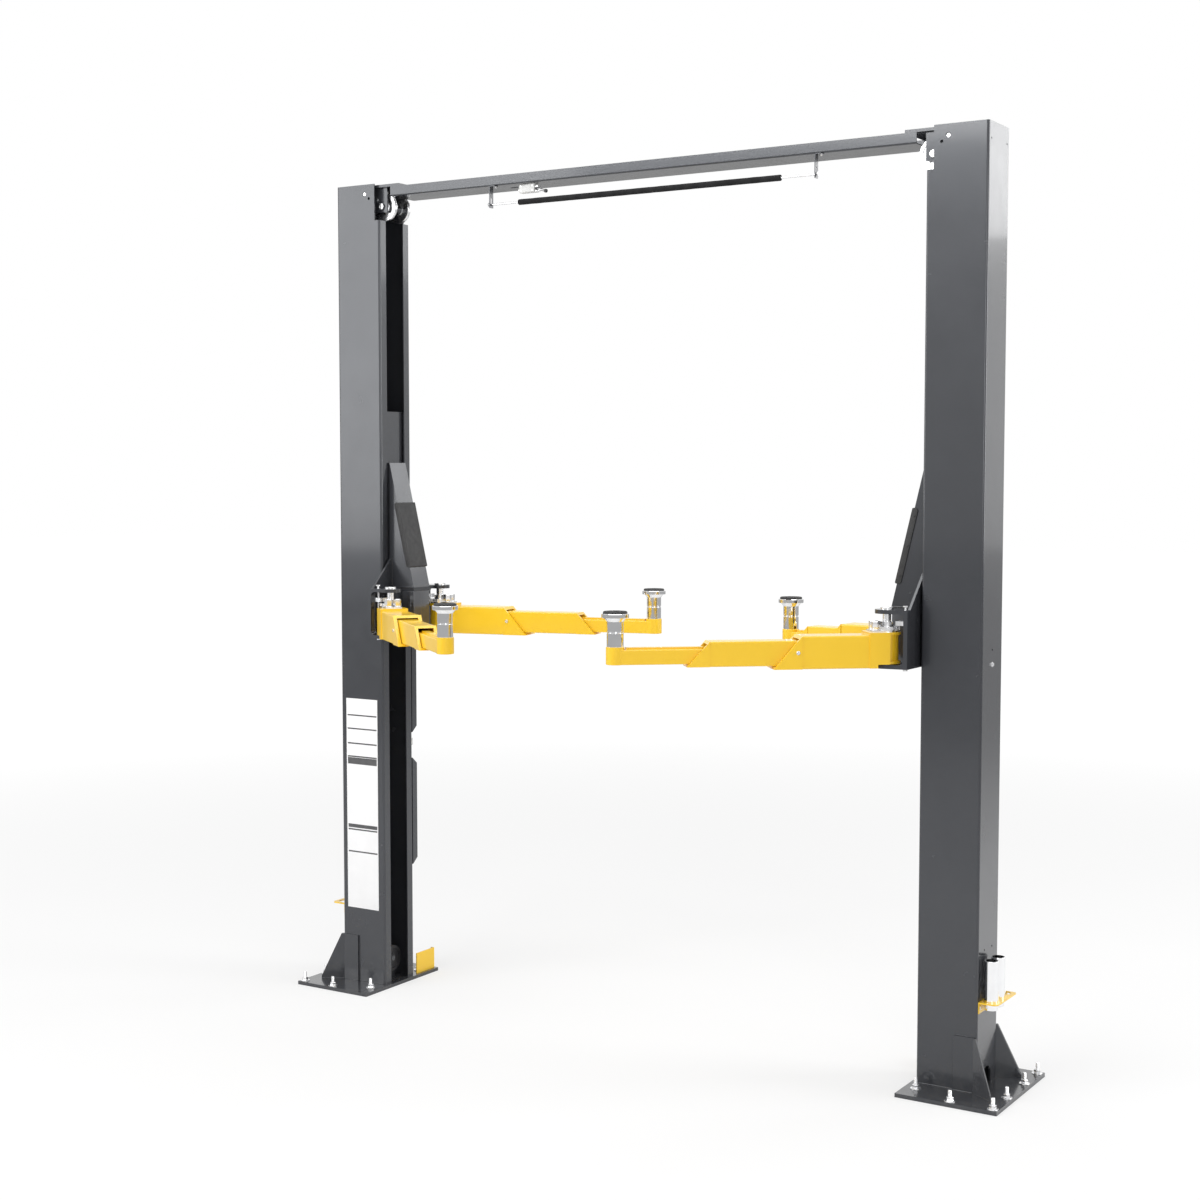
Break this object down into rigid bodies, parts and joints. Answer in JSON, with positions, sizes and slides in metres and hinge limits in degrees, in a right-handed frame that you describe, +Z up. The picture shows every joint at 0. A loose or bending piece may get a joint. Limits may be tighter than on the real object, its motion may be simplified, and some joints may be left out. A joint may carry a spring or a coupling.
{
  "type": "two post vehicle lift",
  "caption": "Two columns with an overhead beam; coupled carriages rise on them, each with two swinging telescopic arms that end in round pads.",
  "frame": {"origin": "on the floor, midway between the columns, at the centre of the outermost anchor holes", "axes": "+X along the overhead beam to the right column, +Y to the rear of the lift, +Z up"},
  "size_m": [4.06, 1.642, 4.4],
  "materials": {
    "charcoal_paint": "gloss",
    "yellow_paint": "gloss",
    "zinc_plate": "satin",
    "bright_chrome": "polished",
    "black_rubber": "matte",
    "black_foam": "matte",
    "block_plastic": "matte",
    "white_plastic": "satin",
    "dark_steel": "satin"
  },
  "bodies": {
    "frame": {"adapter_racks": "yellow_paint", "bar_hangers": "charcoal_paint", "base_gussets": "charcoal_paint", "beam_end_caps": "charcoal_paint", "floor_sheave_brackets": "charcoal_paint", "floor_sheaves": "dark_steel", "latch_covers": "charcoal_paint", "left_base_plate": "charcoal_paint", "left_column": "charcoal_paint", "limit_switch": "white_plastic", "overhead_beam": "charcoal_paint", "right_base_plate": "charcoal_paint", "right_column": "charcoal_paint", "sheave_brackets": "charcoal_paint", "spare_adapters": "bright_chrome", "toe_guards": "yellow_paint", "top_sheaves": "zinc_plate"},
    "shutoff_bar": {"shutoff_bar": "zinc_plate", "shutoff_pad": "black_foam"},
    "right_carriage": {"right_carriage": "charcoal_paint", "right_yoke": "charcoal_paint", "right_door_pad": "black_rubber", "right_slide_blocks": "block_plastic", "right_arm_pins": "zinc_plate", "right_restraint_pawls": "zinc_plate"},
    "left_carriage": {"left_carriage": "charcoal_paint", "left_yoke": "charcoal_paint", "left_door_pad": "black_rubber", "left_slide_blocks": "block_plastic", "left_arm_pins": "zinc_plate", "left_restraint_pawls": "zinc_plate"},
    "front_right_outer": {"front_right_outer_arm": "yellow_paint", "front_right_restraint_gear": "zinc_plate"},
    "front_right_middle": {"front_right_middle_arm": "yellow_paint"},
    "front_right_inner": {"front_right_inner_arm": "yellow_paint"},
    "front_right_adapter": {"front_right_lift_adapter": "bright_chrome", "front_right_adapter_pad": "black_rubber"},
    "rear_right_outer": {"rear_right_outer_arm": "yellow_paint", "rear_right_restraint_gear": "zinc_plate"},
    "rear_right_middle": {"rear_right_middle_arm": "yellow_paint"},
    "rear_right_inner": {"rear_right_inner_arm": "yellow_paint"},
    "rear_right_adapter": {"rear_right_lift_adapter": "bright_chrome", "rear_right_adapter_pad": "black_rubber"},
    "front_left_outer": {"front_left_outer_arm": "yellow_paint", "front_left_restraint_gear": "zinc_plate"},
    "front_left_middle": {"front_left_middle_arm": "yellow_paint"},
    "front_left_inner": {"front_left_inner_arm": "yellow_paint"},
    "front_left_adapter": {"front_left_lift_adapter": "bright_chrome", "front_left_adapter_pad": "black_rubber"},
    "rear_left_outer": {"rear_left_outer_arm": "yellow_paint", "rear_left_restraint_gear": "zinc_plate"},
    "rear_left_middle": {"rear_left_middle_arm": "yellow_paint"},
    "rear_left_inner": {"rear_left_inner_arm": "yellow_paint"},
    "rear_left_adapter": {"rear_left_lift_adapter": "bright_chrome", "rear_left_adapter_pad": "black_rubber"}
  },
  "joints": [
    {"name": "right_lift", "type": "slide", "parent": "frame", "child": "right_carriage", "axis": [0, 0, 1], "range_m": [-1.885, 0.05]},
    {"name": "left_lift", "type": "slide", "parent": "frame", "child": "left_carriage", "axis": [0, 0, 1], "range_m": [-1.885, 0.05]},
    {"name": "shutoff_bar_lift", "type": "slide", "parent": "frame", "child": "shutoff_bar", "axis": [0, 0, 1], "range_m": [0, 0.03]},
    {"name": "front_right_swing", "type": "hinge", "parent": "right_carriage", "child": "front_right_outer", "pos_m": [1.438, -0.22, 2.036], "axis": [0, 0, 1], "range_deg": [-39.7, 50.3]},
    {"name": "front_right_middle_slide", "type": "slide", "parent": "front_right_outer", "child": "front_right_middle", "axis": [-0.7694, -0.6388, 0], "range_m": [-0.222, 0]},
    {"name": "front_right_inner_slide", "type": "slide", "parent": "front_right_middle", "child": "front_right_inner", "axis": [-0.7694, -0.6388, 0], "range_m": [-0.294, 0]},
    {"name": "front_right_adapter_turn", "type": "hinge", "parent": "front_right_inner", "child": "front_right_adapter", "pos_m": [0.47394, -1.02038, 2.03], "axis": [0, 0, 1], "continuous": true},
    {"name": "rear_right_swing", "type": "hinge", "parent": "right_carriage", "child": "rear_right_outer", "pos_m": [1.438, 0.22, 2.036], "axis": [0, 0, -1], "range_deg": [-5, 85]},
    {"name": "rear_right_middle_slide", "type": "slide", "parent": "rear_right_outer", "child": "rear_right_middle", "axis": [-0.9962, 0.0872, 0], "range_m": [0, 0.222]},
    {"name": "rear_right_inner_slide", "type": "slide", "parent": "rear_right_middle", "child": "rear_right_inner", "axis": [-0.9962, 0.0872, 0], "range_m": [0, 0.294]},
    {"name": "rear_right_adapter_turn", "type": "hinge", "parent": "rear_right_inner", "child": "rear_right_adapter", "pos_m": [0.70381, 0.28423, 2.03], "axis": [0, 0, 1], "continuous": true},
    {"name": "front_left_swing", "type": "hinge", "parent": "left_carriage", "child": "front_left_outer", "pos_m": [-1.438, -0.22, 2.036], "axis": [0, 0, -1], "range_deg": [-39.7, 50.3]},
    {"name": "front_left_middle_slide", "type": "slide", "parent": "front_left_outer", "child": "front_left_middle", "axis": [0.7694, -0.6388, 0], "range_m": [-0.222, 0]},
    {"name": "front_left_inner_slide", "type": "slide", "parent": "front_left_middle", "child": "front_left_inner", "axis": [0.7694, -0.6388, 0], "range_m": [-0.294, 0]},
    {"name": "front_left_adapter_turn", "type": "hinge", "parent": "front_left_inner", "child": "front_left_adapter", "pos_m": [-0.47394, -1.02038, 2.03], "axis": [0, 0, 1], "continuous": true},
    {"name": "rear_left_swing", "type": "hinge", "parent": "left_carriage", "child": "rear_left_outer", "pos_m": [-1.438, 0.22, 2.036], "axis": [0, 0, 1], "range_deg": [-12.8, 77.2]},
    {"name": "rear_left_middle_slide", "type": "slide", "parent": "rear_left_outer", "child": "rear_left_middle", "axis": [0.9751, 0.2215, 0], "range_m": [-0.222, 0]},
    {"name": "rear_left_inner_slide", "type": "slide", "parent": "rear_left_middle", "child": "rear_left_inner", "axis": [0.9751, 0.2215, 0], "range_m": [-0.294, 0]},
    {"name": "rear_left_adapter_turn", "type": "hinge", "parent": "rear_left_inner", "child": "rear_left_adapter", "pos_m": [-0.21614, 0.4976, 2.03], "axis": [0, 0, 1], "continuous": true}
  ],
  "couplings": [
    {"joint": "left_lift", "follows": "right_lift", "ratio": 1}
  ]
}
